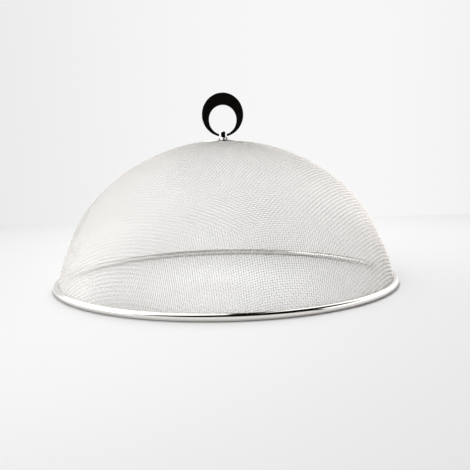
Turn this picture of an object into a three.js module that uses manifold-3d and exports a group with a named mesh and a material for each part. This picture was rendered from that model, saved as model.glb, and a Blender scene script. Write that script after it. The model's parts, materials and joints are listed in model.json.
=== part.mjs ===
// A woven wire-mesh food dome with a rolled rim. On its crown, a ring handle swings in the eye of a turned post.
// Millimetres, +Z up. The origin is the middle of the circle that the rim rests on, and the ring swings about X.
import * as THREE from 'three';
import { mergeVertices } from 'three/addons/utils/BufferGeometryUtils.js';
import Module from 'manifold-3d';

const wasm = await Module();
wasm.setup();

// Clearances and facets
const faceGap = 0.02; // between flat faces that are clamped together
const runningGap = 0.3; // round what moves, and between curved faces
const studGap = 0.3; // round the stud, in every hole that it passes
const cutOverrun = 1; // how far a cutter runs past the face that it opens
const turnedFacets = 36; // round the small turned pieces
const ringFacets = 48; // round the ring handle

// Rim: a strip rolled round the hem, with a slot at its upper inner side
const rimDiameter = 350;
const rimTubeDiameter = 7;
const rimSheet = 0.5;
const tubeFacets = 16; // in a whole turn of the rolled section
const innerLipFacets = 4; // from the foot round the inner side to the slot
const outerLipFacets = 9; // from the foot round the outer side to the slot

// Wire ring inside the rolled rim
const coreWireDiameter = 3.6;
const coreWireFacets = 10;
const coreWireDrop = 61 * (Math.PI / 180); // below level, seen from the middle of the tube

// Dome: plain-woven wire, two wires thick. Three arcs make its outline, from the crown down
const meshWireDiameter = 0.4;
const domeHeight = 144.2; // where the round crown would peak, before it was pressed flat
const hemDepth = 2.9; // of mesh inside the rim
const mouthTurn = 130 * (Math.PI / 180); // round the rim's tube, where the mesh goes in
const crownArcShare = 1.069; // radii of the arcs, as shares of the mouth's radius
const shoulderArcShare = 0.871;
const wallArcShare = 1.201;
const crownTurn = 34.8 * (Math.PI / 180); // how far each arc turns
const shoulderTurn = 26.8 * (Math.PI / 180);
const wallTurn = 17 * (Math.PI / 180);
const crownSeatRadius = 24; // of the crown's flat

// Openings of the dome: a plain grid in place of the fine mesh
const gridColumns = 24; // openings round the dome
const gridRows = 6; // openings from the crown to the rim
const columnFacets = 3; // round the dome from one upright bar to the next, the bar being one of them
const rowSteps = 2; // in an opening's height
const barShare = 0.22; // of the height from one level bar to the next, taken by the bar

// Plate, washers and nut that clamp the crown
const crownDiscDiameter = 42.6;
const crownDiscThickness = 0.8;
const innerWasherDiameter = 26;
const innerWasherThickness = 1;
const springWasherWidth = 1.3;
const springWasherThickness = 0.8;
const springWasherSlit = 0.8;
const nutAcrossFlats = 5.5;
const nutHeight = 7;
const nutHexShare = 0.4; // of the nut's height
const nutDomeShare = 0.4; // of its height, and below the hex and a straight neck
const nutThreadShare = 0.66; // of its height
const nutDomeDiameter = 5.1;

// Post: a turned post with an eye, a flared foot and a threaded stud
const studDiameter = 3;
const postDiameter = 9;
const footDiameter = 24.8;
const footEdge = 0.6;
const flareHeight = 3.9;
const eyeHeight = 5.3; // middle of the eye above the foot's underside
const eyeWall = 1.7; // metal above the eye
const postTopRound = 1.8;
const curveSteps = 6; // in a turned curve

// Ring handle: an oval plate with an off-centre oval hole
const ringWidth = 42.1;
const ringHeight = 44.1;
const ringHoleWidth = 27.6;
const ringHoleHeight = 29.4;
const ringThinWidth = 2.2; // of its section in the eye, seen from the front
const ringThinDepth = 3; // front to back, in the eye
const ringThickDepth = 5; // front to back, at the top
const ringSectionPoints = 12;
const ringSquareness = 0.35; // power of the section's outline: 1 is an ellipse, 0 a rectangle

// Worked out from the sizes above
const tubeRadius = rimTubeDiameter / 2;
const facetTurn = (2 * Math.PI) / tubeFacets;
const rimCentreRadius = rimDiameter / 2 - tubeRadius;
const meshThickness = 2 * meshWireDiameter;
const mouthRadius = rimCentreRadius + tubeRadius * Math.cos(mouthTurn);
const mouthHeight = tubeRadius + tubeRadius * Math.sin(mouthTurn);
const studRadius = studDiameter / 2;
const studHoleRadius = studRadius + studGap;
const postRadius = postDiameter / 2;
const domeTurn = crownTurn + shoulderTurn + wallTurn;
const rimFacets = gridColumns * columnFacets; // round the dome and its rim

// Finishes
const brightWire = new THREE.MeshStandardMaterial({ color: '#dcdad6', roughness: 0.35, metalness: 1 });
const brushedStrip = new THREE.MeshStandardMaterial({ color: '#d6d3ce', roughness: 0.22, metalness: 1 });
const mirrorChrome = new THREE.MeshStandardMaterial({ color: '#e6e6e4', roughness: 0.06, metalness: 1 });
const plainSteel = new THREE.MeshStandardMaterial({ color: '#c4c4c2', roughness: 0.3, metalness: 1 });

// A point of an outline: distance from the Z axis, and height
function at(radius, height) {
  return new THREE.Vector2(radius, height);
}

// Closed geometry with shared corners and positions alone
function welded(geometry) {
  geometry.deleteAttribute('normal');
  geometry.deleteAttribute('uv');
  return mergeVertices(geometry);
}

// An outline turned about Z. It runs counter-clockwise, with the radius to the right and the height up
function turned(outline, facets) {
  return welded(new THREE.LatheGeometry(outline, facets).rotateX(Math.PI / 2));
}

// A solid for cutting and joining
function solid(geometry) {
  const vertProperties = new Float32Array(geometry.attributes.position.array);
  const triVerts = new Uint32Array(geometry.index.array);
  return new wasm.Manifold(new wasm.Mesh({ numProp: 3, vertProperties, triVerts }));
}

// The geometry of a cut or joined solid
function shapeOf(cutSolid) {
  const { vertProperties, triVerts } = cutSolid.getMesh();
  const geometry = new THREE.BufferGeometry();
  geometry.setAttribute('position', new THREE.BufferAttribute(vertProperties, 3));
  geometry.setIndex(new THREE.BufferAttribute(triVerts, 1));
  return geometry;
}

// A named piece at its height
function piece(name, geometry, material, height) {
  const mesh = new THREE.Mesh(geometry, material);
  mesh.name = name;
  mesh.position.z = height;
  return mesh;
}

// A turned sheet between an outer and an inner outline of like points, with some of its cells left open
function piercedSheet(outside, inside, facets, isOpen) {
  const positions = [];
  for (const { x: radius, y: height } of [...outside, ...inside]) {
    for (let facet = 0; facet < facets; facet += 1) {
      const turn = (2 * Math.PI * facet) / facets;
      positions.push(radius * Math.cos(turn), radius * Math.sin(turn), height);
    }
  }
  const rows = outside.length - 1;
  const wrapped = (facet) => (facet + facets) % facets;
  const corner = (row, facet) => row * facets + wrapped(facet);
  const isSolid = ([row, facet]) => row >= 0 && row < rows && !isOpen(row, wrapped(facet));
  const through = outside.length * facets; // from a corner on the outside to the one below it
  const index = [];
  const addQuad = (a, b, c, d) => index.push(a, b, c, a, c, d);
  for (let row = 0; row < rows; row += 1) {
    for (let facet = 0; facet < facets; facet += 1) {
      if (!isSolid([row, facet])) continue;
      const corners = [corner(row, facet), corner(row + 1, facet), corner(row + 1, facet + 1), corner(row, facet + 1)];
      const beside = [[row, facet - 1], [row + 1, facet], [row, facet + 1], [row - 1, facet]];
      addQuad(...corners);
      addQuad(...corners.map((point) => point + through).reverse());
      corners.forEach((start, i) => {
        const end = corners[(i + 1) % corners.length];
        if (!isSolid(beside[i])) addQuad(end, start, start + through, end + through);
      });
    }
  }
  const geometry = new THREE.BufferGeometry();
  geometry.setAttribute('position', new THREE.Float32BufferAttribute(positions, 3));
  geometry.setIndex(index);
  return mergeVertices(geometry.toNonIndexed());
}

// The unit shape of the dome's outline where it has turned by an angle: radius out and drop down from its crown
function unitDome(turn) {
  const arcs = [
    [crownArcShare, crownTurn],
    [shoulderArcShare, shoulderTurn],
    [wallArcShare, wallTurn],
  ];
  let [radius, drop, start] = [0, 0, 0];
  for (const [arc, arcTurn] of arcs) {
    const end = Math.min(start + arcTurn, turn);
    radius += arc * (Math.sin(end) - Math.sin(start));
    drop += arc * (Math.cos(start) - Math.cos(end));
    start = end;
  }
  return { radius, drop };
}

// The place on the dome's outside where its outline has turned by an angle, and the way that it runs there
function domePoint(turn) {
  const mouth = unitDome(domeTurn);
  const across = mouthRadius / mouth.radius;
  const down = (domeHeight - mouthHeight) / mouth.drop;
  const { radius, drop } = unitDome(turn);
  const slope = new THREE.Vector2(across * Math.cos(turn), -down * Math.sin(turn)).normalize();
  return { place: at(across * radius, domeHeight - down * drop), slope };
}

// How far the outline has turned at the edge of the crown's flat
function seatTurn() {
  const share = (crownSeatRadius / mouthRadius) * unitDome(domeTurn).radius;
  return Math.asin(share / crownArcShare);
}

// Height of the crown's flat: where the round crown passes the seat's radius
function seatHeight() {
  return domePoint(seatTurn()).place.y;
}

// Turns of the outline below the seat's edge, where the grid's bars and openings start and step
function rowTurns() {
  const rowTurn = (domeTurn - seatTurn()) / (gridRows + barShare);
  const turns = [];
  for (let row = 0; row < gridRows; row += 1) {
    for (let step = 0; step <= rowSteps; step += 1) {
      const share = row + barShare + ((1 - barShare) * step) / rowSteps;
      turns.push(seatTurn() + share * rowTurn);
    }
  }
  return [...turns, domeTurn];
}

// The dome's outline from the stud's hole to the hem's end, sunk into the sheet by a depth
function domeOutline(depth) {
  const outline = rowTurns().map(domePoint);
  const mouth = outline.at(-1);
  const hem = mouth.place.clone().addScaledVector(mouth.slope, hemDepth);
  outline.push({ place: hem, slope: mouth.slope });
  const sunk = outline.map(({ place, slope }) => at(place.x + depth * slope.y, place.y - depth * slope.x));
  const crown = seatHeight() - depth;
  return [at(studHoleRadius, crown), at(crownSeatRadius, crown), ...sunk];
}

// The dome as one sheet, with the stud's hole, the mouth and a plain grid of openings in place of the mesh
function meshDome() {
  const rowCells = rowSteps + 1; // in a bar and the opening below it
  const inGrid = (row) => row > 0 && row <= gridRows * rowCells;
  const isOpen = (row, facet) => inGrid(row) && (row - 1) % rowCells > 0 && facet % columnFacets > 0;
  const sheet = piercedSheet(domeOutline(0), domeOutline(meshThickness), rimFacets, isOpen);
  return piece('mesh_dome', sheet, brightWire, 0);
}

// The rolled strip. Its facets touch the round tube, and one of them lies flat on the table
function rimBand() {
  const outside = [];
  const inside = [];
  const corner = 1 / Math.cos(facetTurn / 2);
  for (let i = -innerLipFacets; i <= outerLipFacets + 1; i += 1) {
    const turn = -Math.PI / 2 + (i - 0.5) * facetTurn;
    const [across, up] = [corner * Math.cos(turn), corner * Math.sin(turn)];
    outside.push(at(rimCentreRadius + tubeRadius * across, tubeRadius * up));
    inside.push(at(rimCentreRadius + (tubeRadius - rimSheet) * across, (tubeRadius - rimSheet) * up));
  }
  const outline = [...outside, ...inside.reverse(), outside[0]];
  return piece('rim_band', turned(outline, rimFacets), brushedStrip, tubeRadius);
}

// The wire ring, which lies low and outward in the rolled strip
function rimCoreWire() {
  const wireRadius = coreWireDiameter / 2;
  const reach = tubeRadius - rimSheet - runningGap - wireRadius;
  const centreRadius = rimCentreRadius + reach * Math.cos(coreWireDrop);
  const outline = [];
  for (let i = 0; i < coreWireFacets; i += 1) {
    const turn = (2 * Math.PI * i) / coreWireFacets;
    outline.push(at(centreRadius + wireRadius * Math.cos(turn), wireRadius * Math.sin(turn)));
  }
  outline.push(outline[0]);
  const height = tubeRadius - reach * Math.sin(coreWireDrop);
  return piece('rim_core_wire', turned(outline, rimFacets), plainSteel, height);
}

// A flat round plate with the stud's hole
function holedPlate(name, diameter, thickness, material, height) {
  const outline = [
    at(studHoleRadius, 0),
    at(diameter / 2, 0),
    at(diameter / 2, thickness),
    at(studHoleRadius, thickness),
    at(studHoleRadius, 0),
  ];
  return piece(name, turned(outline, turnedFacets), material, height);
}

// The split washer, cut through at one side
function springWasher(height) {
  const outer = studHoleRadius + springWasherWidth;
  const outerTurn = Math.asin(springWasherSlit / 2 / outer);
  const innerTurn = Math.asin(springWasherSlit / 2 / studHoleRadius);
  const outline = new THREE.Shape();
  outline.absarc(0, 0, outer, outerTurn, 2 * Math.PI - outerTurn, false);
  outline.absarc(0, 0, studHoleRadius, 2 * Math.PI - innerTurn, innerTurn, true);
  const options = { depth: springWasherThickness, bevelEnabled: false, curveSegments: turnedFacets };
  return piece('spring_washer', welded(new THREE.ExtrudeGeometry(outline, options)), plainSteel, height);
}

// The domed nut, open at the top where the stud goes in
function capNut(height) {
  const hexRadius = nutAcrossFlats / 2 / Math.cos(Math.PI / 6);
  const hexHeight = nutHexShare * nutHeight;
  const hexagon = new THREE.CylinderGeometry(hexRadius, hexRadius, hexHeight, 6);
  const hex = solid(welded(hexagon.rotateX(Math.PI / 2).translate(0, 0, -hexHeight / 2)));
  const domeRadius = nutDomeDiameter / 2;
  const outline = [];
  for (let i = 0; i <= curveSteps; i += 1) {
    const turn = (Math.PI / 2) * (i / curveSteps);
    const rise = nutDomeShare * nutHeight * (1 - Math.cos(turn));
    outline.push(at(domeRadius * Math.sin(turn), rise - nutHeight));
  }
  outline.push(at(domeRadius, -hexHeight / 2), at(0, -hexHeight / 2));
  const end = -nutThreadShare * nutHeight - runningGap;
  const bored = [at(0, end), at(studHoleRadius, end), at(studHoleRadius, cutOverrun), at(0, cutOverrun)];
  const nut = hex.add(solid(turned(outline, turnedFacets))).subtract(solid(turned(bored, turnedFacets)));
  return piece('cap_nut', shapeOf(nut), mirrorChrome, height);
}

// One section of the ring in a direction round its hole: where the hole and the rim lie, and the depth
function ringSection(turn) {
  const [holeAcross, holeUp] = [ringHoleWidth / 2, ringHoleHeight / 2];
  const [across, up] = [ringWidth / 2, ringHeight / 2];
  const [c, s] = [Math.cos(turn), Math.sin(turn)];
  const lift = up - ringThinWidth - holeUp; // the rim's middle above the hole's
  const inner = 1 / Math.hypot(c / holeAcross, s / holeUp);
  const a = (c / across) ** 2 + (s / up) ** 2;
  const b = (s * lift) / up ** 2;
  const outer = (b + Math.sqrt(b ** 2 - a * ((lift / up) ** 2 - 1))) / a;
  const thickest = ringHeight - ringHoleHeight - ringThinWidth;
  const share = (outer - inner - ringThinWidth) / (thickest - ringThinWidth);
  const depth = ringThinDepth + (ringThickDepth - ringThinDepth) * share;
  return { inner, outer, depth, c, s };
}

// The ring's sections, as rows of points about the middle of its section in the eye
function ringRows() {
  const holeCentre = (ringThinWidth + ringHoleHeight) / 2;
  const rows = [];
  for (let i = 0; i < ringFacets; i += 1) {
    const { inner, outer, depth, c, s } = ringSection(-Math.PI / 2 + (2 * Math.PI * i) / ringFacets);
    const row = [];
    for (let j = 0; j < ringSectionPoints; j += 1) {
      const turn = (2 * Math.PI * j) / ringSectionPoints;
      const [u, v] = [Math.cos(turn), Math.sin(turn)];
      const out = (inner + outer) / 2 + ((outer - inner) / 2) * Math.sign(u) * Math.abs(u) ** ringSquareness;
      const back = (depth / 2) * Math.sign(v) * Math.abs(v) ** ringSquareness;
      row.push(new THREE.Vector3(out * c, back, holeCentre + out * s));
    }
    rows.push(row);
  }
  return rows;
}

// The ring handle, standing up from its eye
function ringHandle(height) {
  const rows = ringRows();
  const positions = rows.flat().flatMap((point) => point.toArray());
  const index = [];
  for (let i = 0; i < ringFacets; i += 1) {
    for (let j = 0; j < ringSectionPoints; j += 1) {
      const [row, next] = [i * ringSectionPoints, ((i + 1) % ringFacets) * ringSectionPoints];
      const beside = (j + 1) % ringSectionPoints;
      index.push(row + j, next + beside, next + j);
      index.push(row + j, row + beside, next + beside);
    }
  }
  const geometry = new THREE.BufferGeometry();
  geometry.setAttribute('position', new THREE.Float32BufferAttribute(positions, 3));
  geometry.setIndex(index);
  return piece('ring_handle', geometry, mirrorChrome, height);
}

// How far from the swing's axis the ring's thin stretch reaches, within a distance of the eye's middle
function ringReach(within) {
  const low = ringRows().flat().filter((point) => point.z < ringHoleHeight / 2);
  const near = low.filter((point) => Math.abs(point.x) <= within);
  return Math.max(...near.map((point) => Math.hypot(point.y, point.z)));
}

// The eye's radius at its narrow middle and where it opens at the post's sides
function eyeRadii() {
  const facet = (Math.PI * ringHoleWidth) / ringFacets;
  return [ringReach(facet / 2) + runningGap, ringReach(postRadius + facet) + runningGap];
}

// The post with its foot and stud. Its eye is wider at both ends, since the ring curves through it
function handlePost(height, studLength) {
  const [eyeMiddle, eyeMouth] = eyeRadii();
  const top = eyeHeight + eyeMouth + eyeWall;
  const footRadius = footDiameter / 2;
  const outline = [at(0, -studLength), at(studRadius, -studLength), at(studRadius, 0), at(footRadius, 0)];
  for (let i = 0; i <= curveSteps; i += 1) {
    const turn = (Math.PI / 2) * (i / curveSteps);
    const radius = footRadius - (footRadius - postRadius) * Math.sin(turn);
    outline.push(at(radius, footEdge + flareHeight * (1 - Math.cos(turn))));
  }
  for (let i = 0; i <= curveSteps; i += 1) {
    const turn = (Math.PI / 2) * (i / curveSteps);
    outline.push(at(postRadius * Math.cos(turn), top - postTopRound * (1 - Math.sin(turn))));
  }
  outline[outline.length - 1].x = 0;
  const bore = [
    at(0, -footRadius),
    at(eyeMouth, -footRadius),
    at(eyeMouth, -postRadius),
    at(eyeMiddle, 0),
    at(eyeMouth, postRadius),
    at(eyeMouth, footRadius),
    at(0, footRadius),
  ];
  const eye = turned(bore, turnedFacets).rotateY(Math.PI / 2).translate(0, 0, eyeHeight);
  const post = solid(turned(outline, turnedFacets)).subtract(solid(eye));
  return piece('handle_post', shapeOf(post), mirrorChrome, height);
}

// The whole cover: the stack on the crown is worked out from the crown's two faces
function foodDome() {
  const crown = seatHeight();
  const discHeight = crown + faceGap;
  const postHeight = discHeight + crownDiscThickness + faceGap;
  const washerHeight = crown - meshThickness - faceGap - innerWasherThickness;
  const springHeight = washerHeight - faceGap - springWasherThickness;
  const nutTop = springHeight - faceGap;
  const dome = new THREE.Group();
  dome.add(meshDome(), rimBand(), rimCoreWire());
  dome.add(holedPlate('crown_disc', crownDiscDiameter, crownDiscThickness, mirrorChrome, discHeight));
  dome.add(holedPlate('inner_washer', innerWasherDiameter, innerWasherThickness, plainSteel, washerHeight));
  dome.add(springWasher(springHeight), capNut(nutTop));
  dome.add(handlePost(postHeight, postHeight - nutTop + nutThreadShare * nutHeight));
  dome.add(ringHandle(postHeight + eyeHeight));
  return dome;
}

export default foodDome();
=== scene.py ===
"""The looks of a woven wire-mesh food dome with a rolled rim and a ring handle on its crown.

Everything is in metres, +Z up. The origin is the middle of the circle that the rim rests on, and the ring
handle swings about X in the eye of its post.
"""

import json
import logging
import math
from collections.abc import Iterator
from dataclasses import dataclass, field
from enum import Enum

import bpy
import numpy as np
from mathutils import Matrix, Vector


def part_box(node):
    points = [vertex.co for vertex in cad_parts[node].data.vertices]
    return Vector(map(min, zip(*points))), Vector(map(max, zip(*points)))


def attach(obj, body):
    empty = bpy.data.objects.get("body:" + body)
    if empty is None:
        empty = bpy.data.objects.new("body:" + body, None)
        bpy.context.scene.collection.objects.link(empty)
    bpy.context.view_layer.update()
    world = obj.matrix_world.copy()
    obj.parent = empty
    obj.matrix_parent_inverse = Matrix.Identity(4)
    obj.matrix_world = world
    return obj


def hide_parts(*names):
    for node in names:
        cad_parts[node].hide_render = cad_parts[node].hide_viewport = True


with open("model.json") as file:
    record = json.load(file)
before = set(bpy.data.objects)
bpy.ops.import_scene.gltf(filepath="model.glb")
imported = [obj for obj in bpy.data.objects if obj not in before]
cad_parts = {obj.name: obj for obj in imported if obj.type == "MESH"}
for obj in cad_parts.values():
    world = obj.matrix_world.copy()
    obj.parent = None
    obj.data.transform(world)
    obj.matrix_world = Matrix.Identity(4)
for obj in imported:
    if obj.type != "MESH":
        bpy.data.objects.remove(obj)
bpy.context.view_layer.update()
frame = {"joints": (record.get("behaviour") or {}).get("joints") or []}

MM = 0.001
SQUARE = math.pi / 2
FULL_TURN = 2 * math.pi
WELD_REACH = 0.001 * MM
TINY = 1e-9
BAKE_MAP = "OFBake"
Pair = tuple[float, float]
Triple = tuple[float, float, float]
Piece = bpy.types.Object
Tree = bpy.types.NodeTree
Socket = bpy.types.NodeSocket
Outputs = bpy.types.bpy_prop_collection
Given = dict[str | int, Socket | Triple | float]
log = logging.getLogger("food_dome")


class Body(Enum):
    """The two bodies that pieces ride on."""

    DOME = "dome"
    RING = "ring"


class Slot(Enum):
    """The record's material slots."""

    WIRE = "mesh_wire"
    STRIP = "rim_strip"
    CHROME = "handle_chrome"
    PLAIN = "plain_steel"


class Family(Enum):
    """The two families of wires in the weave, with the side on which each passes a crossing of even count."""

    WARP = 1
    WEFT = -1


def add_node(tree: Tree, kind: str, given: Given, **settings: str | bool) -> Outputs:
    """Adds a node to a tree.

    Args:
        tree: The tree.
        kind: The kind of node.
        given: What its inputs are given: a value, or the socket that it comes from.
        settings: The node's settings.

    Returns:
        The node's outputs.
    """
    node = tree.nodes.new(kind)
    for name, setting in settings.items():
        setattr(node, name, setting)
    for key, value in given.items():
        socket = node.inputs[key]
        if isinstance(value, Socket):
            tree.links.new(value, socket)
        else:
            socket.default_value = (*value, 1) if socket.type == "RGBA" else value
    return node.outputs


def blend(tree: Tree, share: Socket, first: Socket | Triple, second: Socket | Triple) -> Socket:
    """Goes from one colour to another by the share of the second one."""
    given = {"Factor": share, "A": first, "B": second}
    return add_node(tree, "ShaderNodeMix", given, data_type="RGBA")["Result"]


@dataclass(frozen=True)
class MetalFinish:
    """A bare metal with drifts of tone and of gloss.

    Attributes:
        name: The material's name.
        slot: The record's slot that it stands for. Not used.
        colour: Its main colour.
        tint: The colour that it drifts to.
        roughness: The lowest and highest roughness.
        grain: How many drifts lie along a metre, on each axis.
        relief: How deep the marks in its surface are.
        detail: How many finer layers the drifts have.
    """

    name: str
    slot: Slot
    colour: Triple
    tint: Triple
    roughness: Pair
    grain: Triple
    relief: float = 0
    detail: float = 3

    def material(self) -> bpy.types.Material:
        """Makes the material, or finds it if it is made already.

        Returns:
            The material.
        """
        found = bpy.data.materials.get(self.name)
        if found:
            return found
        material = bpy.data.materials.new(self.name)
        material.use_nodes = True
        tree = material.node_tree
        link, shader = tree.links.new, tree.nodes["Principled BSDF"].inputs
        shader["Metallic"].default_value = 1
        place = add_node(tree, "ShaderNodeTexCoord", {})["Object"]
        spread = add_node(tree, "ShaderNodeMapping", {"Vector": place, "Scale": self.grain})["Vector"]
        pattern = {"Vector": spread, "Scale": 1, "Detail": self.detail}
        drift = add_node(tree, "ShaderNodeTexNoise", pattern)["Fac"]
        link(blend(tree, drift, self.colour, self.tint), shader["Base Color"])
        low, high = self.roughness
        gloss = add_node(tree, "ShaderNodeMapRange", {"Value": drift, "To Min": low, "To Max": high})
        link(gloss["Result"], shader["Roughness"])
        if self.relief:
            marks = add_node(tree, "ShaderNodeBump", {"Height": drift, "Distance": self.relief})
            link(marks["Normal"], shader["Normal"])
        return material


BRIGHT_WIRE = MetalFinish(
    "bright_wire", Slot.WIRE, (0.93, 0.915, 0.90), (0.87, 0.855, 0.84), (0.14, 0.24), (60, 60, 60)
)
ROLLED_STRIP = MetalFinish(
    "rolled_strip", Slot.STRIP, (0.88, 0.865, 0.845), (0.82, 0.80, 0.78), (0.07, 0.13), (25, 25, 400)
)
MIRROR_CHROME = MetalFinish(
    "mirror_chrome", Slot.CHROME, (0.80, 0.80, 0.80), (0.72, 0.715, 0.71), (0.03, 0.07), (90, 90, 90)
)
TURNED_STEEL = MetalFinish(
    "turned_steel", Slot.PLAIN, (0.74, 0.73, 0.72), (0.62, 0.61, 0.60), (0.22, 0.38), (300, 300, 1500),
    relief=0.01 * MM,
)


def mesh_piece(
    name: str, points: np.ndarray, corners: np.ndarray, counts: np.ndarray, places: np.ndarray | None = None
) -> Piece:
    """Makes a smooth mesh object from arrays.

    Args:
        name: The object's name.
        points: Its vertices, one row each.
        corners: The vertex of each corner, face after face.
        counts: How many corners each face has.
        places: Each corner's place on the bake's map, if the mesh brings one.

    Returns:
        The object, linked to the scene.
    """
    mesh = bpy.data.meshes.new(name)
    mesh.vertices.add(len(points))
    mesh.vertices.foreach_set("co", np.asarray(points, np.float32).ravel())
    mesh.loops.add(len(corners))
    mesh.loops.foreach_set("vertex_index", np.asarray(corners, np.int32))
    mesh.polygons.add(len(counts))
    starts = np.concatenate([[0], np.cumsum(counts)[:-1]])
    mesh.polygons.foreach_set("loop_start", starts.astype(np.int32))
    mesh.polygons.foreach_set("use_smooth", np.ones(len(counts), bool))
    if places is not None:
        layer = mesh.uv_layers.new(name=BAKE_MAP)
        layer.uv.foreach_set("vector", np.asarray(places, np.float32).ravel())
    mesh.update(calc_edges=True)
    made = bpy.data.objects.new(name, mesh)
    bpy.context.scene.collection.objects.link(made)
    return made


def skin(name: str, sections: np.ndarray, closed: bool, capped: bool = False) -> Piece:
    """Lays a skin of quads over sections that each close on themselves.

    Args:
        name: The object's name.
        sections: The points of the sections, section after section.
        closed: Whether the last section joins the first.
        capped: Whether the first and the last section are filled.

    Returns:
        The object.
    """
    index = np.arange(sections[..., 0].size).reshape(sections.shape[:2])
    here = index if closed else index[:-1]
    beyond = np.roll(index, -1, 0) if closed else index[1:]
    quads = np.stack([here, np.roll(here, -1, 1), np.roll(beyond, -1, 1), beyond], 2).reshape(-1, 4)
    caps = [index[0, ::-1], index[-1]] if capped else []
    corners = np.concatenate([quads.ravel(), *caps])
    counts = np.array([4] * len(quads) + [len(cap) for cap in caps])
    return mesh_piece(name, sections.reshape(-1, 3), corners, counts)


def dress(piece: Piece, finish: MetalFinish, body: Body, *nodes: str) -> Piece:
    """Gives a piece its finish, lets it ride on its body and hides the nodes that it stands for.

    Args:
        piece: The object.
        finish: Its finish.
        body: The body that it rides on.
        nodes: The nodes that it replaces.

    Returns:
        The same object.
    """
    piece.data.materials.clear()
    piece.data.materials.append(finish.material())
    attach(piece, body.value)
    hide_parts(*nodes)
    return piece


def arc(centre: Pair, radii: Pair, start: float, end: float, steps: int) -> list[Pair]:
    """Gives points along a round or oval arc in an outline.

    Args:
        centre: Its middle, as distance from the axis and height.
        radii: Its half width and half height.
        start: The angle where it starts, counter-clockwise from straight out.
        end: The angle where it ends.
        steps: How many straight steps it has.

    Returns:
        The points.
    """
    turns = np.linspace(start, end, steps + 1)
    return [(centre[0] + radii[0] * math.cos(t), centre[1] + radii[1] * math.sin(t)) for t in turns]


def softened(corners: list[Pair], radius: float, steps: int = 5) -> list[Pair]:
    """Rounds the corners of an outline that closes on itself.

    Args:
        corners: Its corners, counter-clockwise.
        radius: The radius of each rounded corner.
        steps: How many straight steps each has.

    Returns:
        The points of the rounded outline, with the first one repeated at the end.
    """
    found = []
    for i, corner in enumerate(corners):
        here = Vector(corner)
        before = (Vector(corners[i - 1]) - here).normalized()
        after = (Vector(corners[(i + 1) % len(corners)]) - here).normalized()
        half = before.angle(after) / 2
        middle = here + (before + after).normalized() * (radius / math.sin(half))
        first = here + before * (radius / math.tan(half)) - middle
        last = here + after * (radius / math.tan(half)) - middle
        for j in range(steps + 1):
            spoke = first.lerp(last, j / steps).normalized() * radius
            found.append(tuple(middle + spoke))
    return [*found, found[0]]


def about_axis(radii: np.ndarray, heights: np.ndarray, turns: np.ndarray) -> np.ndarray:
    """Gives points about Z. The three arrays are spread to one shape.

    Args:
        radii: Their distances from the axis.
        heights: Their heights.
        turns: Their turns from +X.

    Returns:
        The points, with the last axis for X, Y and Z.
    """
    radii, heights, turns = np.broadcast_arrays(radii, heights, turns)
    return np.stack([radii * np.cos(turns), radii * np.sin(turns), heights], -1)


def turned(name: str, outline: list[Pair], steps: int) -> Piece:
    """Turns an outline about Z.

    Args:
        name: The object's name.
        outline: Its points as distance from the axis and height, counter-clockwise. It closes on itself, or
            starts and ends on the axis.
        steps: How many facets a whole turn has.

    Returns:
        The object.
    """
    rows = np.array(outline)
    closed = bool(np.allclose(rows[0], rows[-1]))
    rows = rows[:-1] if closed else rows
    turns = np.arange(steps) * FULL_TURN / steps
    piece = skin(name, about_axis(rows[:, :1], rows[:, 1:], turns), closed)
    if not closed:
        weld(piece)
    return piece


def weld(piece: Piece) -> None:
    """Merges the vertices of a mesh that lie on each other, such as those on the axis of a turned shape."""
    piece.modifiers.new("weld", "WELD").merge_threshold = WELD_REACH
    settle(piece)


def settle(piece: Piece) -> None:
    """Applies a piece's modifiers to its mesh.

    Args:
        piece: The object.
    """
    graph = bpy.context.evaluated_depsgraph_get()
    mesh = bpy.data.meshes.new_from_object(piece.evaluated_get(graph))
    piece.modifiers.clear()
    piece.data = mesh


def crisp(piece: Piece, angle: float) -> None:
    """Shades a piece smooth, apart from edges sharper than an angle."""
    piece.data.shade_smooth()
    piece.data.set_sharp_from_angle(angle=angle)


@dataclass(frozen=True)
class DomeArc:
    """One arc of the dome's outline.

    Attributes:
        radius_share: Its radius, as a share of the mouth's radius.
        turn: How far it turns.
    """

    radius_share: float
    turn: float


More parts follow.
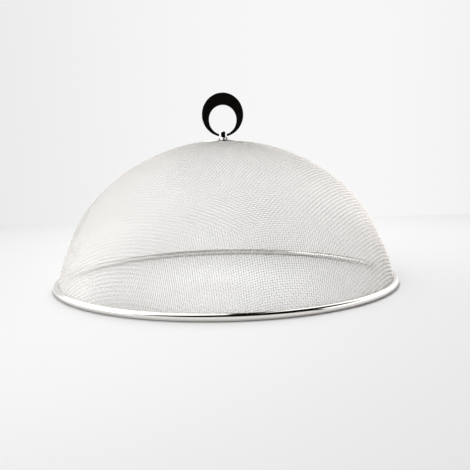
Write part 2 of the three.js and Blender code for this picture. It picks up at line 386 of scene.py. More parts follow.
@dataclass
class DomeSurface:
    """The middle of the woven sheet, as a surface of revolution.

    Attributes:
        mouth: The radius and height of the place where the sheet enters the rim.
        seat: The radius and height of the crown's flat.
        depth: How far the middle of the sheet lies below its outside.
        peak: Where the round crown would peak, before it was pressed flat.
        hem: The length of sheet inside the rim.
        arcs: The arcs of its outline, from the crown down.
        spare: The length by which the table runs on past the hem.
        steps: How many steps the table has along each arc.
        rounds: How often a crossing's place is corrected.
    """

    mouth: Pair
    seat: Pair
    depth: float
    peak: float = 144.2 * MM
    hem: float = 2.4 * MM
    arcs: tuple[DomeArc, ...] = (
        DomeArc(1.069, math.radians(34.8)),
        DomeArc(0.871, math.radians(26.8)),
        DomeArc(1.201, math.radians(17)),
    )
    spare: float = 8 * MM
    steps: int = 240
    rounds: int = 6

    def __post_init__(self) -> None:
        """Works out the table of the outline: radius, height, slope and length from the axis."""
        rows = self.unit_outline()
        across = self.mouth[0] / rows[-1, 0]
        down = (self.peak - self.mouth[1]) / rows[-1, 1]
        turns = np.arctan2(down * np.sin(rows[:, 2]), across * np.cos(rows[:, 2]))
        radii = across * rows[:, 0] - self.depth * np.sin(turns)
        heights = self.peak - down * rows[:, 1] - self.depth * np.cos(turns)
        beyond = radii > self.seat[0]
        radii, heights, turns = radii[beyond], heights[beyond], turns[beyond]
        run = self.hem + self.spare
        flat = self.seat[1] - self.depth
        self.radii = np.concatenate([[0, self.seat[0]], radii, [radii[-1] + run * math.cos(turns[-1])]])
        self.heights = np.concatenate([[flat, flat], heights, [heights[-1] - run * math.sin(turns[-1])]])
        self.turns = np.concatenate([[0, 0], turns, turns[-1:]])
        steps = np.hypot(np.diff(self.radii), np.diff(self.heights))
        self.lengths = np.concatenate([[0], np.cumsum(steps)])
        self.hem_end = self.lengths[-1] - self.spare

    def unit_outline(self) -> np.ndarray:
        """Gives the outline's arcs in a unit shape, in fine steps.

        Returns:
            Rows of radius, drop and turn.
        """
        rows = [(0.0, 0.0, 0.0)]
        for piece in self.arcs:
            radius, drop, turn = rows[-1]
            for end in np.linspace(turn, turn + piece.turn, self.steps + 1)[1:]:
                out = piece.radius_share * (math.sin(end) - math.sin(turn))
                down = piece.radius_share * (math.cos(turn) - math.cos(end))
                rows.append((radius + out, drop + down, end))
        return np.array(rows)

    def length_at(self, points: np.ndarray) -> np.ndarray:
        """Gives how far points on the surface lie from the axis, measured along the outline."""
        return np.interp(np.hypot(points[..., 0], points[..., 1]), self.radii, self.lengths)

    def normals(self, points: np.ndarray) -> np.ndarray:
        """Gives the surface's outward directions at points on it.

        Args:
            points: The points, one row each.

        Returns:
            Unit vectors, one row each.
        """
        radii = np.hypot(points[..., 0], points[..., 1])
        turns = np.interp(radii, self.radii, self.turns)
        out = points[..., :2] / np.maximum(radii, TINY)[..., None]
        return np.concatenate([out * np.sin(turns)[..., None], np.cos(turns)[..., None]], -1)

    def nearest_beside(
        self, first: np.ndarray, second: np.ndarray, guess: np.ndarray, step: float
    ) -> np.ndarray:
        """Finds points on the surface that lie one step from each of two others, by Newton's method.

        Args:
            first: The points that they lie beside, one row each.
            second: The other points that they lie beside.
            guess: About where they are.
            step: How far they lie from both.

        Returns:
            The points.
        """
        found = guess.copy()
        for _ in range(self.rounds):
            radii = np.hypot(found[:, 0], found[:, 1])
            slope = np.tan(np.interp(radii, self.radii, self.turns))
            miss = [((found - other) ** 2).sum(1) - step**2 for other in (first, second)]
            miss.append(found[:, 2] - np.interp(radii, self.radii, self.heights))
            fall = found[:, :2] / radii[:, None] * slope[:, None]
            level = np.concatenate([fall, np.ones((len(found), 1))], 1)
            rates = np.stack([2 * (found - first), 2 * (found - second), level], 1)
            found -= np.linalg.solve(rates, np.stack(miss, 1)[..., None])[..., 0]
        return found


@dataclass
class WovenDome:
    """The dome: one sheet of plain-woven wire.

    A flat sheet of such wire takes the dome's shape by shear, since the crossings keep their distance along
    every wire. So the crossings are found one by one, each a step from its two neighbours.

    Attributes:
        surface: The middle of the sheet.
        hole: The radius of the stud's hole.
        pitch: The distance between crossings.
        wire: The wire's diameter.
        crimp: How far a wire's middle swings out of the sheet's middle at a crossing.
        turn: The direction of the warp at the crown, from X.
        stub: The least length of a wire's end past its last crossing, as a share of the pitch.
        sides: How many sides a wire has.
        parts: How many pieces each family is made in.
        map_gap: The gap beside a wire on the bake's map, as a share of the wire's row.
        map_end: The radius of a wire's end there, likewise.
    """

    surface: DomeSurface
    hole: float
    pitch: float = 2.05 * MM
    wire: float = 0.4 * MM
    crimp: float = 0.2 * MM
    turn: float = math.radians(16.5)
    stub: float = 0.2
    sides: int = 6
    parts: int = 8
    map_gap: float = 0.05
    map_end: float = 0.3

    def quarter(self) -> np.ndarray:
        """Finds the crossings of one quarter of the sheet.

        Returns:
            The crossings as rows and columns of points, with nan past the hem.
        """
        surface, count = self.surface, int(self.surface.lengths[-1] / self.pitch)
        net = np.full((count + 1, count + 1, 3), np.nan)
        along = np.arange(count + 1) * self.pitch
        radii = np.interp(along, surface.lengths, surface.radii)
        heights = np.interp(along, surface.lengths, surface.heights)
        net[:, 0] = np.stack([radii, 0 * radii, heights], 1)
        net[0, :] = np.stack([0 * radii, radii, heights], 1)
        for total in range(2, 2 * count + 1):
            row = np.arange(max(1, total - count), min(count, total - 1) + 1)
            column = total - row
            first, second, behind = net[row, column - 1], net[row - 1, column], net[row - 1, column - 1]
            known = np.isfinite(first[:, 0]) & np.isfinite(second[:, 0])
            known[known] &= surface.length_at((first + second)[known] / 2) < surface.lengths[-1] - self.pitch
            row, column = row[known], column[known]
            first, second, behind = first[known], second[known], behind[known]
            if len(row):
                net[row, column] = surface.nearest_beside(first, second, first + second - behind, self.pitch)
        return net

    def crossings(self) -> np.ndarray:
        """Finds all crossings, in four quarters turned about the axis.

        Returns:
            The crossings as rows and columns of points. The middle one is on the axis.
        """
        quarter = self.quarter()
        count = len(quarter) - 1
        net = np.full((2 * count + 1, 2 * count + 1, 3), np.nan)
        row, column = np.meshgrid(np.arange(count + 1), np.arange(count + 1), indexing="ij")
        for i in range(4):
            turn = self.turn + i * SQUARE
            c, s = math.cos(turn), math.sin(turn)
            spun = quarter @ np.array([[c, s, 0], [-s, c, 0], [0, 0, 1]])
            net[count + row, count + column] = spun
            row, column = -column, row
        return net

    def runs(self, family: Family) -> Iterator[tuple[int, np.ndarray]]:
        """Gives the course of each wire of a family, cut at the hem and at the stud's hole.

        Args:
            family: The family of wires.

        Returns:
            The count of the wire's line in the net, and its points with the side on which it passes each.
        """
        net = self.crossings()
        net = net if family is Family.WARP else net.swapaxes(0, 1)
        lengths = self.surface.length_at(net)
        lengths[~np.isfinite(net[..., 0])] = np.inf
        middle = len(net) // 2
        for line in range(len(net)):
            sides = family.value * (1 - 2 * ((np.arange(len(net)) + line) % 2))
            inside = (lengths[line] <= self.surface.hem_end) & (lengths[line] >= self.hole)
            edges = np.flatnonzero(np.diff(np.concatenate([[0], inside.astype(int), [0]])))
            for start, stop in zip(edges[::2], edges[1::2], strict=True):
                head = self.cut(net[line], lengths[line], sides, start, start - 1)
                tail = self.cut(net[line], lengths[line], sides, stop - 1, stop)
                course = [*head, *(np.append(net[line, i], sides[i]) for i in range(start, stop)), *tail]
                if len(course) > 1:
                    yield line - middle, np.array(course)

    def cut(
        self, points: np.ndarray, lengths: np.ndarray, sides: np.ndarray, last: int, beyond: int
    ) -> list[np.ndarray]:
        """Finds where a wire meets the edge of the sheet between two crossings.

        Args:
            points: The crossings along the wire.
            lengths: How far each lies from the axis.
            sides: The side on which the wire passes each.
            last: The last crossing inside the sheet.
            beyond: The next crossing, outside the sheet.

        Returns:
            The wire's end and its side there, or nothing if it lies close to the last crossing.
        """
        if not 0 <= beyond < len(points) or not np.isfinite(lengths[beyond]):
            return []
        edge = self.hole if lengths[beyond] < self.hole else self.surface.hem_end
        share = (edge - lengths[last]) / (lengths[beyond] - lengths[last])
        if share < self.stub:
            return []
        place = points[last] + (points[beyond] - points[last]) * share
        return [np.append(place, sides[last] + (sides[beyond] - sides[last]) * share)]

    def tube(self, course: np.ndarray) -> np.ndarray:
        """Gives the rings of points round one wire, which is crimped over and under the others.

        Args:
            course: The wire's points with the side on which it passes each.

        Returns:
            The rings, one for each point and one between each two.
        """
        between = (course[1:] + course[:-1]) / 2
        course = np.insert(course, np.arange(1, len(course)), between, axis=0)
        out = self.surface.normals(course[:, :3])
        middle = course[:, :3] + out * (course[:, 3:] * self.crimp)
        along = np.gradient(middle, axis=0)
        along /= np.linalg.norm(along, axis=1)[:, None]
        out -= along * (out * along).sum(1)[:, None]
        out /= np.linalg.norm(out, axis=1)[:, None]
        aside = np.cross(out, along)
        turns = np.arange(self.sides) * FULL_TURN / self.sides
        spokes = np.cos(turns)[None, :, None] * out[:, None] + np.sin(turns)[None, :, None] * aside[:, None]
        return middle[:, None] + spokes * (self.wire / 2)

    def build(self) -> list[Piece]:
        """Makes both families of wires and dresses them.

        Returns:
            The pieces.
        """
        pieces = []
        for family in Family:
            courses = list(self.runs(family))
            reach = max(line for line, _ in courses) + 1
            for part in range(self.parts):
                low, high = (reach * (2 * (part + i) / self.parts - 1) for i in (0, 1))
                held = [self.tube(course) for line, course in courses if low <= line < high]
                name = f"{family.name.lower()}_wires_{part + 1}"
                pieces.append(dress(self.wires(name, held), BRIGHT_WIRE, Body.DOME, "mesh_dome"))
        return pieces

    def wires(self, name: str, tubes: list[np.ndarray]) -> Piece:
        """Joins tubes into one object. On the bake's map, each wire is a row.

        Args:
            name: The object's name.
            tubes: The rings of points round each wire.

        Returns:
            The object.
        """
        longest = max(len(rings) for rings in tubes) + 2
        around = np.arange(self.sides)
        turns = around * FULL_TURN / self.sides
        strip = (1 - 2 * self.map_gap) / self.sides
        corners, counts, places, base = [], [], [], 0
        for row, rings in enumerate(tubes):
            step = np.arange(len(rings) - 1)[:, None]
            here = base + step * self.sides + around
            beside = base + step * self.sides + (around + 1) % self.sides
            quads = np.stack([here, beside, beside + self.sides, here + self.sides], 2).reshape(-1, 4)
            left = (step + 1 + 0 * around) / longest
            low = (row + self.map_gap + strip * around + 0 * step) / len(tubes)
            right, high = left + 1 / longest, low + strip / len(tubes)
            corners += [quads.ravel(), base + around[::-1], base + (len(rings) - 1) * self.sides + around]
            counts += [np.full(len(quads), 4), [self.sides, self.sides]]
            places += [np.stack([left, low, left, high, right, high, right, low], 2).reshape(-1, 2)]
            for end, order in ((0.5, -1), (len(rings) + 0.5, 1)):
                across = (end + self.map_end * np.cos(turns)) / longest
                up = (row + 0.5 + self.map_end * np.sin(turns)) / len(tubes)
                places.append(np.stack([across, up], 1)[::order])
            base += len(rings) * self.sides
        points = np.concatenate([rings.reshape(-1, 3) for rings in tubes])
        return mesh_piece(name, points, *map(np.concatenate, (corners, counts, places)))


@dataclass
class RolledRim:
    """The strip rolled round the hem, and the wire ring inside it.

    Attributes:
        sheet: The strip's thickness.
        slot: Where the roll starts and ends, as angles round its middle, counter-clockwise from straight out.
        entry: The angle there at which the mesh goes in.
        facets: How many facets the rim has round the dome.
        steps: How many the rolled section, its rounded ends and the wire ring's section have.
        tube: The radius of the roll.
        middle: The roll's middle, as distance from the axis and height.
    """

    sheet: float = 0.5 * MM
    slot: Pair = (math.radians(-214), math.radians(114))
    entry: float = math.radians(120)
    facets: int = 360
    steps: tuple[int, int, int] = (72, 6, 24)
    tube: float = field(init=False)
    middle: Pair = field(init=False)

    def __post_init__(self) -> None:
        """Takes the rim's size from the frame."""
        low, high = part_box("rim_band")
        self.tube = (high.z - low.z) / 2
        self.middle = (high.x - self.tube, low.z + self.tube)

    def at(self, turn: float, radius: float) -> Pair:
        """Gives the distance from the axis and the height of a place round the roll's middle."""
        return self.middle[0] + radius * math.cos(turn), self.middle[1] + radius * math.sin(turn)

    def mouth(self) -> Pair:
        """Gives the radius and height where the mesh enters the rim."""
        return self.at(self.entry, self.tube)

    def build(self) -> list[Piece]:
        """Makes the strip and the wire ring.

        Returns:
            The pieces.
        """
        start, end = self.slot
        roll_steps, lip_steps, core_steps = self.steps
        lip = self.sheet / 2
        ends = [self.at(turn, self.tube - lip) for turn in self.slot]
        inner = self.tube - self.sheet
        outline = arc(self.middle, (self.tube, self.tube), start, end, roll_steps)
        outline += arc(ends[1], (lip, lip), end, end + math.pi, lip_steps)[1:-1]
        outline += arc(self.middle, (inner, inner), end, start, roll_steps)
        outline += arc(ends[0], (lip, lip), start + math.pi, start + FULL_TURN, lip_steps)[1:-1]
        strip = turned("rolled_rim", [*outline, outline[0]], self.facets)
        low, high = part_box("rim_core_wire")
        wire = (high.z - low.z) / 2
        core = arc((high.x - wire, low.z + wire), (wire, wire), 0, FULL_TURN, core_steps)
        ring = turned("core_wire", core, self.facets)
        return [
            dress(strip, ROLLED_STRIP, Body.DOME, "rim_band"),
            dress(ring, TURNED_STEEL, Body.DOME, "rim_core_wire"),
        ]


@dataclass
class CrownClamp:
    """The plate on the crown, and the washers and the domed nut below it.

    Attributes:
        flat: The radius of the crown's flat.
        hole: The radius of the stud's hole.
        edges: The radius of the softened edges of the plates, and of the split washer.
        slit: The width of the split washer's slit.
        nut_hex: The hexagon's share of the nut's height, which is the dome's share too.
        nut_bore: How deep the nut's bore is, as a share of its height.
        nut_widths: The widths of its dome and of its flat face, as shares of the hexagon's.
        chamfer: The height of the hexagon's chamfers.
        facets: How many facets the turned pieces and the split washer have.
        dome_steps: How many straight steps the nut's dome has.
        angles: The angles from which the edges of the split washer and of the nut show.
    """

    flat: float = 24 * MM
    hole: float = 1.8 * MM
    edges: Pair = (0.2 * MM, 0.1 * MM)
    slit: float = 0.8 * MM
    nut_hex: float = 0.4
    nut_bore: float = 0.7
    nut_widths: Pair = (0.93, 0.97)
    chamfer: float = 0.5 * MM
    facets: tuple[int, int] = (128, 72)
    dome_steps: int = 16
    angles: Pair = (math.radians(40), math.radians(25))

    def section(self, node: str, edge: float) -> list[Pair]:
        """Gives the section of a plate or washer in the place of a node.

        Args:
            node: The node.
            edge: The radius of its softened edges.

        Returns:
            The points, with the first one repeated at the end.
        """
        low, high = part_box(node)
        outer = -low.x
        corners = [(self.hole, low.z), (outer, low.z), (outer, high.z), (self.hole, high.z)]
        return softened(corners, edge)

    def plate(self, node: str, name: str) -> Piece:
        """Makes a round plate with softened edges in the place of a node."""
        return turned(name, self.section(node, self.edges[0]), self.facets[0])

    def spring_washer(self) -> Piece:
        """Makes the split washer, with a slit at +X.

        Returns:
            The object.
        """
        rows = np.array(self.section("spring_washer", self.edges[1])[:-1])[::-1]
        start = math.asin(self.slit / 2 / self.hole)
        turns = np.linspace(start, FULL_TURN - start, self.facets[1])
        sections = about_axis(rows[:, 0], rows[:, 1], turns[:, None])
        washer = skin("split_washer", sections, closed=False, capped=True)
        crisp(washer, self.angles[0])
        return washer

    def nut(self) -> Piece:
        """Makes the domed nut: a chamfered hexagon that ends in a dome, with its bore open at the top.

        Returns:
            The object.
        """
        low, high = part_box("cap_nut")
        flat = min(high.x, high.y)
        height = high.z - low.z
        reach = flat / math.cos(math.pi / 6)
        domed, hex_end = self.nut_hex * height, high.z - self.nut_hex * height
        dome, face = (flat * share for share in self.nut_widths)
        deepest = high.z - self.nut_bore * height
        levels = [(0, deepest), (self.hole, deepest), (self.hole, high.z), (face, high.z)]
        levels += [(reach, high.z - self.chamfer), (reach, hex_end + self.chamfer), (dome, hex_end)]
        levels += arc((0, low.z + domed), (dome, domed), 0, -SQUARE, self.dome_steps)
        turns = np.arange(self.facets[0]) * FULL_TURN / self.facets[0]
        side = flat / np.cos((turns + math.pi / 6) % (math.pi / 3) - math.pi / 6)
        rows = np.array(levels[::-1])
        sections = about_axis(np.minimum(side, rows[:, :1]), rows[:, 1:], turns)
        nut = skin("domed_nut", sections, closed=False)
        weld(nut)
        crisp(nut, self.angles[1])
        return nut

    def build(self) -> list[Piece]:
        """Makes the plate, the washers and the nut.

        Returns:
            The pieces.
        """
        return [
            dress(self.plate("crown_disc", "crown_plate"), MIRROR_CHROME, Body.DOME, "crown_disc"),
            dress(self.plate("inner_washer", "wide_washer"), TURNED_STEEL, Body.DOME, "inner_washer"),
            dress(self.spring_washer(), TURNED_STEEL, Body.DOME, "spring_washer"),
            dress(self.nut(), MIRROR_CHROME, Body.DOME, "cap_nut"),
        ]


@dataclass
class RingHandle:
    """The ring handle: an oval plate with an off-centre oval hole, thin where it goes through the eye.

    Attributes:
        width: Its width over all.
        height: Its height over all.
        hole: The hole's width and height.
        thin: The width of its section in the eye, seen from the front.
        depths: Its depth front to back, in the eye and at the top.
        edge: The radius of its rounded edges.
        facets: How many sections it has.
        steps: How many straight steps a rounded edge has.
        margin: How far from an edge a face is surely flat.
    """

    width: float = 42.1 * MM
    height: float = 44.1 * MM
    hole: Pair = (27.6 * MM, 29.4 * MM)
    thin: float = 2.2 * MM
    depths: Pair = (3 * MM, 5 * MM)
    edge: float = 0.2 * MM
    facets: int = 288
    steps: int = 6
    margin: float = 0.1 * MM

    def section(self, turn: float) -> Triple:
        """Gives one section of the ring.

        Args:
            turn: Its direction from the middle of the hole.

        Returns:
            The distances from there to the hole's edge and to the ring's edge, and its depth.
        """
        c, s = math.cos(turn), math.sin(turn)
        across, up = self.width / 2, self.height / 2
        lift = up - self.thin - self.hole[1] / 2
        inner = 1 / math.hypot(2 * c / self.hole[0], 2 * s / self.hole[1])
        a = (c / across) ** 2 + (s / up) ** 2
        b = s * lift / up**2
        outer = (b + math.sqrt(b**2 - a * ((lift / up) ** 2 - 1))) / a
        thickest = self.height - self.hole[1] - self.thin
        share = (outer - inner - self.thin) / (thickest - self.thin)
        return inner, outer, self.depths[0] + (self.depths[1] - self.depths[0]) * share

    def outline(self, width: float, depth: float) -> tuple[np.ndarray, np.ndarray]:
        """Gives the outline of one section: a rectangle with rounded edges and flat sides.

        Args:
            width: Its width.
            depth: Its depth.

        Returns:
            How far its points lie across and front to back from its middle.
        """
        step = np.arange(-1, self.steps + 2)
        within = np.clip(step, 0, self.steps)
        wide, deep = [], []
        for corner, (side, end) in enumerate(((1, 1), (-1, 1), (-1, -1), (1, -1))):
            turns = (corner + within / self.steps) * SQUARE
            past = (step - within) * self.margin
            wide.append(side * (width / 2 - self.edge) + self.edge * np.cos(turns) - past * np.sin(turns))
            deep.append(end * (depth / 2 - self.edge) + self.edge * np.sin(turns) + past * np.cos(turns))
        return np.concatenate(wide), np.concatenate(deep)

    def build(self) -> list[Piece]:
        """Makes the ring, standing up from its hinge.

        Returns:
            The piece.
        """
        hinge = frame["joints"][0]["pos_m"][2]
        middle = hinge + (self.thin + self.hole[1]) / 2
        sections = []
        for turn in np.arange(self.facets) * FULL_TURN / self.facets:
            inner, outer, depth = self.section(turn)
            wide, deep = self.outline(outer - inner, depth)
            out = (inner + outer) / 2 + wide
            sections.append(np.stack([out * math.cos(turn), deep, middle + out * math.sin(turn)], 1))
        ring = skin("finger_ring", np.array(sections), closed=True)
        return [dress(ring, MIRROR_CHROME, Body.RING, "ring_handle")]


@dataclass
class HandlePost:
    """The turned post with its eye, flared foot and stud.

    Attributes:
        radius: The post's radius.
        stud: The stud's radius.
        edge: The height of the foot's edge.
        flare: The height of the flare above it.
        top: The radius of the rounded top.
        eye: The eye's radius in its middle and where it opens.
        soft: The radius of its softened edges.
        gap: How far the foot stands above the plate.
        facets: How many facets it and its eye have.
        steps: How many straight steps a softened edge, the flare and the rounded top have.
        angle: The angle from which its edges show.
    """

    radius: float = 4.5 * MM
    stud: float = 1.5 * MM
    edge: float = 0.6 * MM
    flare: float = 3.9 * MM
    top: float = 1.8 * MM
    eye: Pair = (1.967 * MM, 2.890 * MM)
    soft: float = 0.15 * MM
    gap: float = 0.02 * MM
    facets: tuple[int, int] = (144, 72)
    steps: tuple[int, int, int] = (4, 24, 12)
    angle: float = math.radians(35)

    def outline(self) -> list[Pair]:
        """Gives the outline of the post, without its eye.

        Returns:
            The points, from the stud's end to the top.
        """
        low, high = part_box("handle_post")
        soft, top = self.soft, self.top
        soft_steps, flare_steps, top_steps = self.steps
        foot = high.x - soft
        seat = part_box("crown_disc")[1].z + self.gap
        rise = seat + self.edge
        curve = (foot - self.radius, self.flare)
        points = [(0, low.z), (self.stud - soft, low.z), (self.stud, low.z + soft), (self.stud, seat)]
        points += arc((foot, seat + soft), (soft, soft), -SQUARE, 0, soft_steps)
        points += arc((foot, rise - soft), (soft, soft), 0, SQUARE, soft_steps)
        points += arc((foot, rise + self.flare), curve, -SQUARE, -math.pi, flare_steps)[1:]
        points += arc((self.radius - top, high.z - top), (top, top), 0, SQUARE, top_steps)
        return [*points, (0, high.z)]

    def build(self) -> list[Piece]:
        """Makes the post and bores its eye.

        Returns:
            The piece.
        """
        post = turned("turned_post", self.outline(), self.facets[0])
        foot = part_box("handle_post")[1].x
        middle, mouth = self.eye
        half = [(middle, 0), (mouth, self.radius), (mouth, foot), (0, foot)]
        bore = [(radius, -along) for radius, along in half[:0:-1]] + half
        cutter = turned("eye_cutter", bore, self.facets[1])
        hinge = Vector(frame["joints"][0]["pos_m"])
        cutter.data.transform(Matrix.Translation(hinge) @ Matrix.Rotation(SQUARE, 4, "Y"))
        cut = post.modifiers.new("eye", "BOOLEAN")
        cut.operation, cut.object, cut.solver = "DIFFERENCE", cutter, "EXACT"
        settle(post)
        bpy.data.objects.remove(cutter)
        crisp(post, self.angle)
        return [dress(post, MIRROR_CHROME, Body.DOME, "handle_post")]


@dataclass(frozen=True)
class SoftBox:
    """A soft rectangular lamp that the camera doesn't see.

    Attributes:
        name: Its name.
        place: Where it stands.
        aim: The point that it faces.
        size: Its width and height.
        power: Its power in watts.
        colour: Its colour.
        on_metal: Whether the metal mirrors it.
        on_paper: Whether it lights what is matt.
    """

    name: str
    place: Triple
    aim: Triple
    size: Pair
    power: float
    colour: Triple = (1, 1, 1)
    on_metal: bool = True
    on_paper: bool = True

    def build(self) -> None:
        """Makes the lamp."""
        lamp = bpy.data.lights.new(self.name, "AREA")
        lamp.shape = "RECTANGLE"
        lamp.size, lamp.size_y = self.size
        lamp.energy = self.power
        lamp.color = self.colour
        made = bpy.data.objects.new(self.name, lamp)
        made.location = self.place
        made.rotation_euler = (Vector(self.aim) - Vector(self.place)).to_track_quat("-Z", "Y").to_euler()
        made.visible_camera = False
        made.visible_glossy = self.on_metal
        made.visible_diffuse = self.on_paper
        bpy.context.scene.collection.objects.link(made)


@dataclass(frozen=True)
class Border:
    """A soft border between two parts of the room, by how far a direction leans one way.

    Attributes:
        way: The way.
        start: How far a direction leans that way where the border starts, from -1 to 1.
        end: How far it leans where the border ends.
    """

    way: Triple
    start: float
    end: float


def leaning(turn: float, drop: float = 0) -> Triple:
    """Gives the direction at a turn from -Y towards +X.

    Args:
        turn: The turn in degrees.
        drop: How many degrees it leans down.

    Returns:
        The direction.
    """
    turn, drop = math.radians(turn), math.radians(drop)
    return math.sin(turn) * math.cos(drop), -math.cos(turn) * math.cos(drop), -math.sin(drop)


@dataclass
class Room:
    """The white tent round the object, open and dark at its front, as metal, paper and the camera see it.

    Attributes:
        walls: The tones of its back, left and right walls in the metal.
        sides: Where the left wall and the right wall start.
        ceiling: The tones of its ceiling in the metal, left and right.
        ceiling_middle: The border between the two.
        rise: Where the ceiling starts.
        opening: The tone of the dark room beyond its opening.
        edges: The opening's left and right edges.
        low_right: Where the wall comes further round at the right, and the height up to which it does.
        roof: Where the roof is open: just right of its middle and above a height.
        matt: The tones that light what is matt, from its bright side and from the other.
        matt_way: The border between the two.
        low: The tone that lights what is matt from low at its left.
        low_left: Where that one starts, and the height up to which it does.
        dim: The tone that the metal casts on what is matt.
        shown: The tones behind the object: left, in the middle and right.
        shown_sides: Where the left one and the right one start.
    """

    walls: tuple[Triple, ...] = ((0.8, 0.795, 0.785), (2.02, 2.0, 1.97), (1.43, 1.38, 1.33))
    sides: tuple[Border, ...] = (Border((-1, 0, 0), 0.6, 0.95), Border((1, 0, 0), 0.3, 0.6))
    ceiling: tuple[Triple, ...] = ((2.35, 2.33, 2.29), (1.45, 1.42, 1.38))
    ceiling_middle: Border = Border((1, 0, 0), -0.7, 0.7)
    rise: Border = Border((0, 0, 1), 0.3, 0.5)
    opening: Triple = (0.005, 0.0045, 0.004)
    edges: tuple[Border, ...] = (Border(leaning(30, 11), -0.12, 0.12), Border(leaning(13), -0.08, 0.08))
    low_right: tuple[Border, ...] = (Border(leaning(152), -0.06, 0.06), Border((0, 0, -1), -0.52, -0.4))
    roof: tuple[Border, ...] = (
        Border((1, 0, 0), -0.03, 0.03),
        Border((-1, 0, 0), -0.30, -0.18),
        Border((0, 0, 1), 0.70, 0.76),
    )
    matt: tuple[Triple, ...] = ((0.55, 0.55, 0.55), (0, 0, 0))
    matt_way: Border = Border(leaning(26), 0.25, 0.85)
    low: Triple = (1.6, 1.6, 1.6)
    low_left: tuple[Border, ...] = (Border(leaning(-70), 0.1, 0.7), Border((0, 0, -1), -0.42, -0.18))
    dim: Triple = (0.5, 0.5, 0.5)
    shown: tuple[Triple, ...] = ((0.738, 0.738, 0.736), (0.93, 0.93, 0.93), (0.85, 0.85, 0.85))
    shown_sides: tuple[Border, ...] = (Border((-1, 0, 0), -0.1, 0.75), Border((1, 0, 0), 0.22, 0.5))

    def build(self) -> None:
        """Makes the world's light."""
        world = bpy.data.worlds.new("room")
        world.use_nodes = True
        world.cycles.sampling_method = "NONE"
        bpy.context.scene.world = world
        self.tree = world.node_tree
        self.tree.nodes.clear()
        self.way = add_node(self.tree, "ShaderNodeTexCoord", {})["Generated"]
        front = self.both("SUBTRACT", self.within(*self.edges), self.within(*self.low_right))
        dark = self.both("MAXIMUM", front, self.within(*self.roof))
        behind, left, right = self.walls
        walls = self.tone(self.sides[0], behind, left)
        walls = self.tone(self.sides[1], walls, right)
        walls = self.tone(self.rise, walls, self.tone(self.ceiling_middle, *self.ceiling))
        mirrored = self.light(blend(self.tree, dark, walls, self.opening))
        left, middle, right = self.shown
        shown = self.tone(self.shown_sides[0], middle, left)
        shown = self.light(self.tone(self.shown_sides[1], shown, right))
        matt = self.tone(self.matt_way, *self.matt)
        matt = self.light(blend(self.tree, self.within(*self.low_left), matt, self.low))
        ray = add_node(self.tree, "ShaderNodeLightPath", {})
        mirrored = self.choose(ray["Diffuse Depth"], mirrored, self.light(self.dim))
        seen = self.choose(ray["Is Glossy Ray"], matt, mirrored)
        seen = self.choose(ray["Is Camera Ray"], seen, shown)
        add_node(self.tree, "ShaderNodeOutputWorld", {"Surface": seen})

    def within(self, border: Border, *others: Border) -> Socket:
        """Tells where a direction lies beyond one or more borders.

        Args:
            border: The first border.
            others: The other borders.

        Returns:
            From 0 before any of them to 1 beyond all.
        """
        ways = {0: self.way, 1: border.way}
        lean = add_node(self.tree, "ShaderNodeVectorMath", ways, operation="DOT_PRODUCT")["Value"]
        ends = {"Value": lean, "From Min": border.start, "From Max": border.end}
        beyond = add_node(self.tree, "ShaderNodeMapRange", ends, interpolation_type="SMOOTHSTEP")["Result"]
        return self.both("MULTIPLY", beyond, self.within(*others)) if others else beyond

    def both(self, operation: str, first: Socket, second: Socket) -> Socket:
        """Puts two values together, kept between 0 and 1."""
        given = {0: first, 1: second}
        return add_node(self.tree, "ShaderNodeMath", given, operation=operation, use_clamp=True)["Value"]

    def tone(self, border: Border, first: Socket | Triple, second: Socket | Triple) -> Socket:
        """Goes from the tone before a border to the one beyond it."""
        return blend(self.tree, self.within(border), first, second)

    def light(self, tone: Socket | Triple) -> Socket:
        """Gives off light of a tone."""
        return add_node(self.tree, "ShaderNodeBackground", {"Color": tone})["Background"]

    def choose(self, share: Socket, first: Socket, second: Socket) -> Socket:
        """Goes from one light to another by the share of the second one."""
        return add_node(self.tree, "ShaderNodeMixShader", {0: share, 1: first, 2: second})["Shader"]


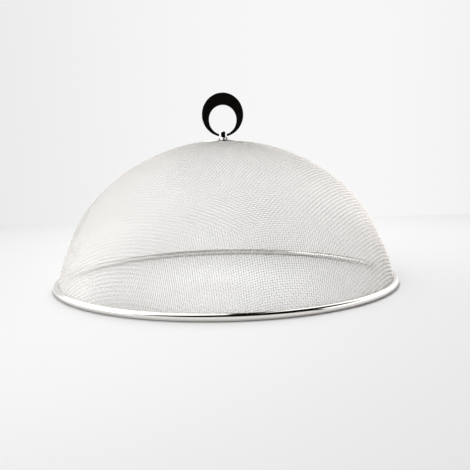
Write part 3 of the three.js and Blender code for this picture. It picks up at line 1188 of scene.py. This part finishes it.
@dataclass
class Studio:
    """The floor, the light and the camera.

    Attributes:
        room: The tent round the object.
        lamps: The lamps: above and behind, low in front at the left, under the crown, and low in front.
        floor: Half the floor's width.
        floor_end: How far back the floor goes.
        paper: The colours that the floor's paper drifts between.
        paper_drift: How fine those drifts are.
        elevation: How far above level the camera stands, seen from the point that it was aimed by.
        distance: How far it stands from that point.
        aim: The height of that point on the dome's axis.
        aim_pixel: Where that point lies in the photograph.
        focal_pixels: The lens's focal length in pixels of the photograph.
        roll: How far the camera leans to its side.
        frame_pixels: The photograph's width.
        sensor: The width of the camera's sensor in millimetres.
        clip: The nearest and the farthest that the camera sees.
    """

    room: Room = field(default_factory=Room)
    lamps: tuple[SoftBox, ...] = (
        SoftBox("back_box", (0.06, 0.34, 1.05), (0.06, 0.5, 0), (0.5, 0.5), 6.75, on_metal=False),
        SoftBox("front_box", (-0.174, -0.341, 0.44), (-0.174, -0.341, 0), (0.2, 0.2), 0.48, on_metal=False),
        SoftBox("inner_box", (-0.025, -0.02, 0.07), (-0.025, -0.02, 0), (0.2, 0.2), 0.045, on_metal=False),
        SoftBox(
            "low_card", (0, -0.428, 0.05), (0, 0, 0.05), (0.9, 0.10), 0.22, (1, 0.96, 0.90), on_paper=False
        ),
    )
    floor: float = 2.4
    floor_end: float = 0.62
    paper: tuple[Triple, Triple] = ((0.925, 0.925, 0.925), (0.915, 0.915, 0.913))
    paper_drift: float = 1.5
    elevation: float = math.radians(6.02)
    distance: float = 660.4 * MM
    aim: float = 59.1 * MM
    aim_pixel: Pair = (225.5, 222.95)
    focal_pixels: float = 637.19
    roll: float = math.radians(-1.38)
    frame_pixels: float = 470
    sensor: float = 36
    clip: Pair = (0.01, 50)

    def build(self) -> None:
        """Makes the floor, the room's light, the lamps and the camera."""
        self.build_floor()
        self.room.build()
        for lamp in self.lamps:
            lamp.build()
        self.build_camera()
        bpy.context.scene.view_settings.view_transform = "Standard"

    def build_floor(self) -> None:
        """Makes the plain pale floor."""
        half, end = self.floor, self.floor_end
        points = np.array([(-half, -half, 0), (half, -half, 0), (half, end, 0), (-half, end, 0)])
        floor = mesh_piece("floor", points, np.arange(4), np.array([4]))
        paper = bpy.data.materials.new("pale_paper")
        paper.use_nodes = True
        tree = paper.node_tree
        shader = tree.nodes["Principled BSDF"].inputs
        shader["Roughness"].default_value = 1
        shader["Specular IOR Level"].default_value = 0
        drift = add_node(tree, "ShaderNodeTexNoise", {"Scale": self.paper_drift})["Fac"]
        tree.links.new(blend(tree, drift, *self.paper), shader["Base Color"])
        floor.data.materials.append(paper)

    def build_camera(self) -> None:
        """Makes the camera at the photograph's viewing angle."""
        half = self.frame_pixels / 2
        back = Vector((0, -math.cos(self.elevation), math.sin(self.elevation)))
        right = Vector((1, 0, 0))
        up = back.cross(right)
        yaw = Matrix.Rotation(math.atan((self.aim_pixel[0] - half) / self.focal_pixels), 3, up)
        turned_back, turned_right = yaw @ back, yaw @ right
        pitch = Matrix.Rotation(math.atan((self.aim_pixel[1] - half) / self.focal_pixels), 3, turned_right)
        turned_back, turned_up = pitch @ turned_back, pitch @ up
        c, s = math.cos(self.roll), math.sin(self.roll)
        side, head = c * turned_right + s * turned_up, c * turned_up - s * turned_right
        data = bpy.data.cameras.new("camera")
        data.sensor_width = self.sensor
        data.lens = self.focal_pixels / self.frame_pixels * self.sensor
        data.clip_start, data.clip_end = self.clip
        camera = bpy.data.objects.new("camera", data)
        place = Matrix.Translation(Vector((0, 0, self.aim)) + back * self.distance)
        camera.matrix_world = place @ Matrix((side, head, turned_back)).transposed().to_4x4()
        bpy.context.scene.collection.objects.link(camera)
        bpy.context.scene.camera = camera


def main() -> None:
    """Builds the studio and the object, and writes how large it came out."""
    logging.basicConfig(level=logging.INFO, format="%(message)s")
    Studio().build()
    rim, clamp = RolledRim(), CrownClamp()
    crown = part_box("mesh_dome")[1].z
    depth = WovenDome.crimp + WovenDome.wire / 2
    surface = DomeSurface(mouth=rim.mouth(), seat=(clamp.flat, crown), depth=depth)
    for made in (WovenDome(surface, clamp.hole), rim, clamp, HandlePost(), RingHandle()):
        for piece in made.build():
            log.info("%s: %s, %d faces", type(made).__name__, piece.name, len(piece.data.polygons))


if __name__ == "__main__":
    main()
